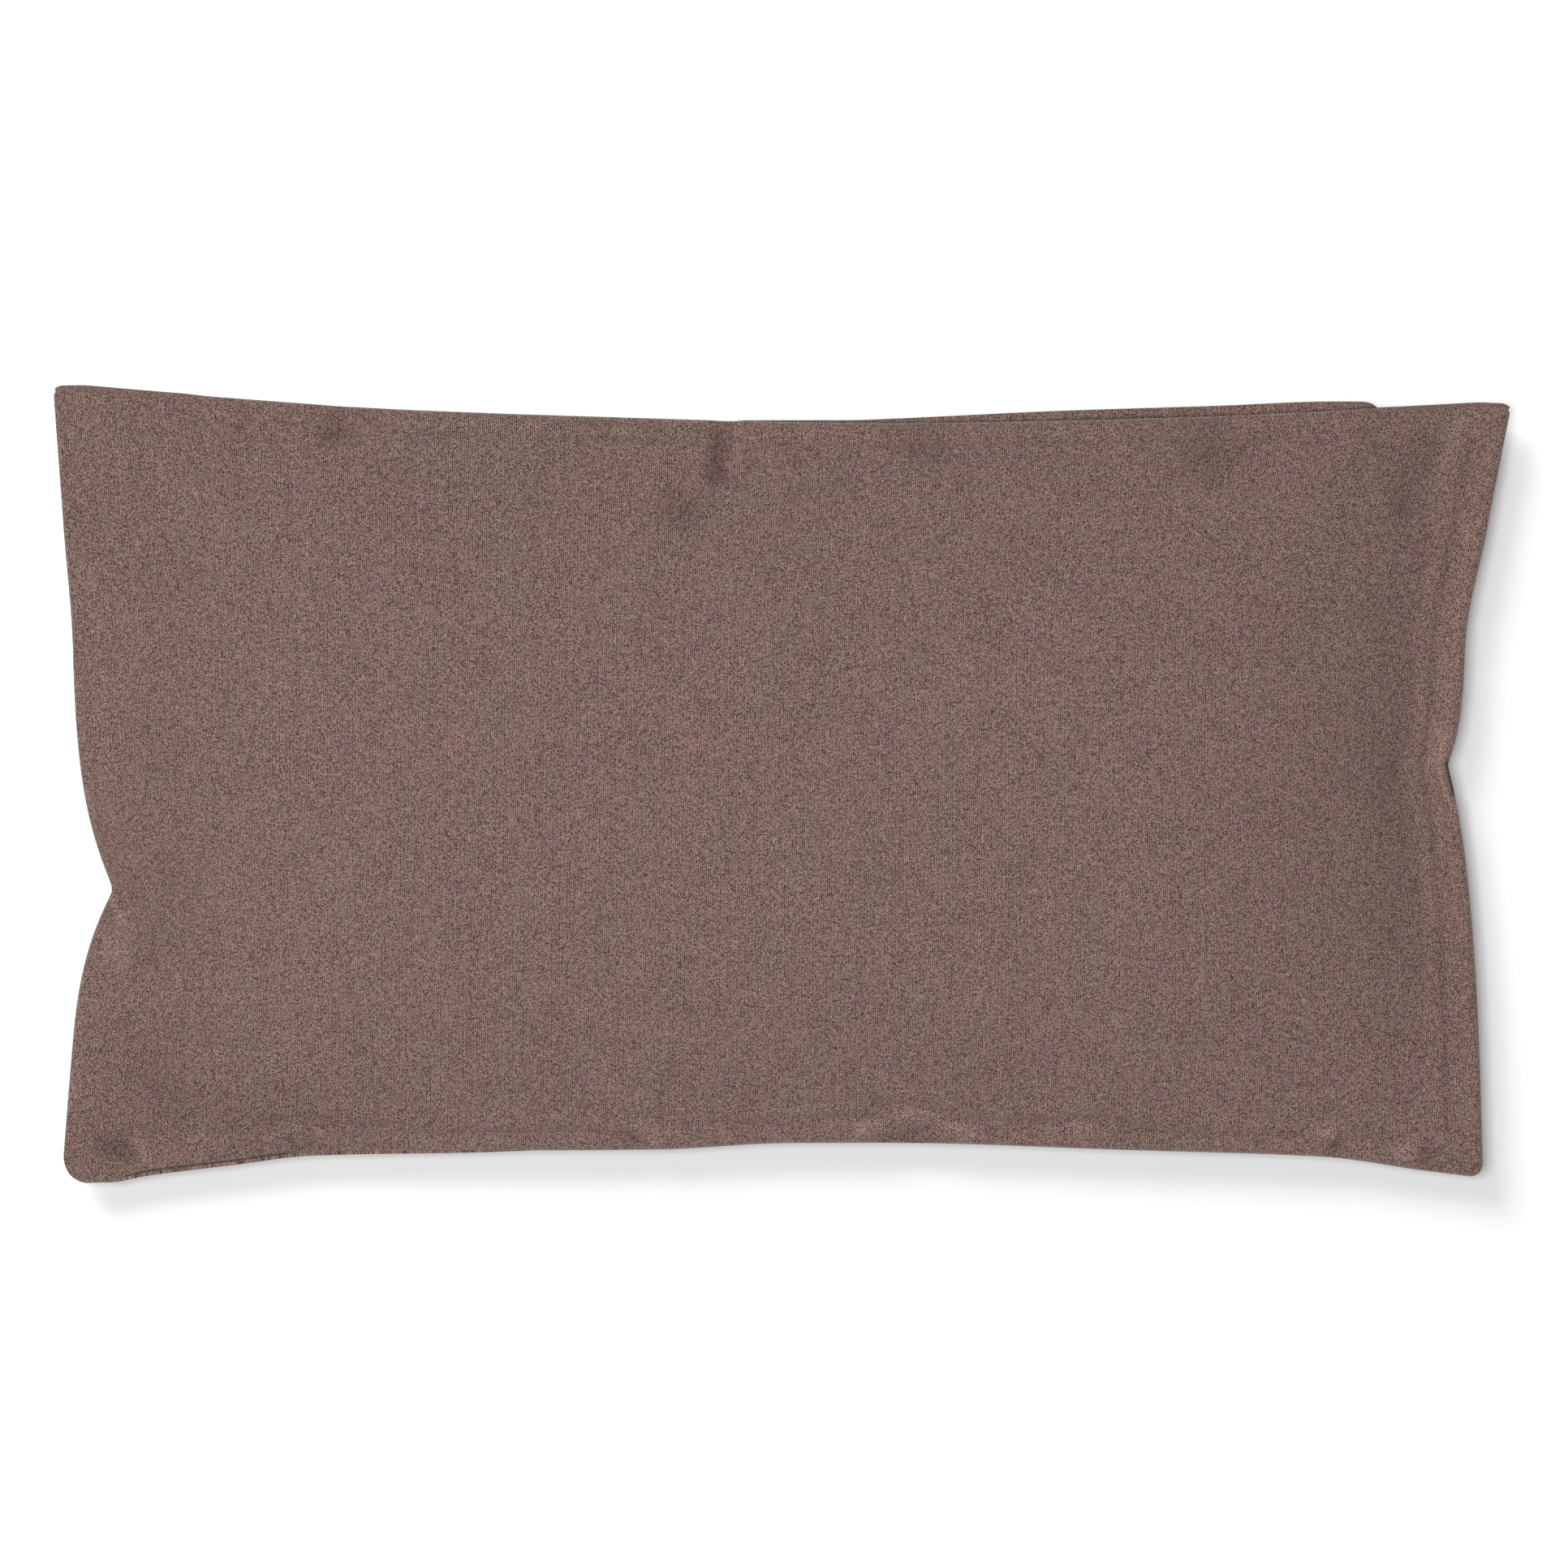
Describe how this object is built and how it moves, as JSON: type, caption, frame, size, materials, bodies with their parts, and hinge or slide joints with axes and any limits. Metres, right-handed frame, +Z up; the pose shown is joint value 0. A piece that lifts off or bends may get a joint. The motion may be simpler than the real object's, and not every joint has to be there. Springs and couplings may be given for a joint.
{
  "type": "eye pillow",
  "caption": "Rectangular weighted eye pillow: a removable twill cover with a tucked closure flap around a seed-filled cotton sack.",
  "frame": {"origin": "on the table under the centre of the pillow's box, at the flat underside of the back panel", "axes": "+X along the pillow's length, +Y across its width towards the cover's mouth, +Z up out of the table, through the front panel"},
  "size_m": [0.2392, 0.1308, 0.02],
  "materials": {
    "cover_twill": "matte fine twill weave",
    "cover_thread": "matte sewing thread",
    "sack_cotton": "matte plain weave, unbleached",
    "sack_thread": "matte cotton thread",
    "flaxseed": "small glossy seeds",
    "lavender": "dry loose buds"
  },
  "bodies": {
    "cover": {"cover_front_panel": "cover_twill", "cover_back_panel": "cover_twill", "left_seam_thread": "cover_thread", "right_seam_thread": "cover_thread", "bottom_seam_thread": "cover_thread", "top_left_seam_thread": "cover_thread", "top_right_seam_thread": "cover_thread", "mouth_hem_thread": "cover_thread"},
    "closure_flap": {"closure_flap": "cover_twill", "flap_hem_thread": "cover_thread"},
    "insert": {"sack_front_panel": "sack_cotton", "sack_back_panel": "sack_cotton", "sack_overlock_thread": "sack_thread", "sack_closing_stitch": "sack_thread", "flaxseed_filling": "flaxseed", "lavender_filling": "lavender"}
  },
  "joints": [
    {"name": "flap_fold", "type": "hinge", "parent": "cover", "child": "closure_flap", "pos_m": [0, 0.059, 0.0058], "axis": [-1, 0, 0], "range_deg": [0, 158], "deforming": ["closure_flap", "flap_hem_thread"]},
    {"name": "insert_slide", "type": "slide", "parent": "cover", "child": "insert", "axis": [0, 1, 0], "range_m": [0, 0.17], "deforming": ["cover_front_panel", "cover_back_panel", "left_seam_thread", "right_seam_thread", "bottom_seam_thread", "top_left_seam_thread", "top_right_seam_thread", "mouth_hem_thread"]}
  ]
}
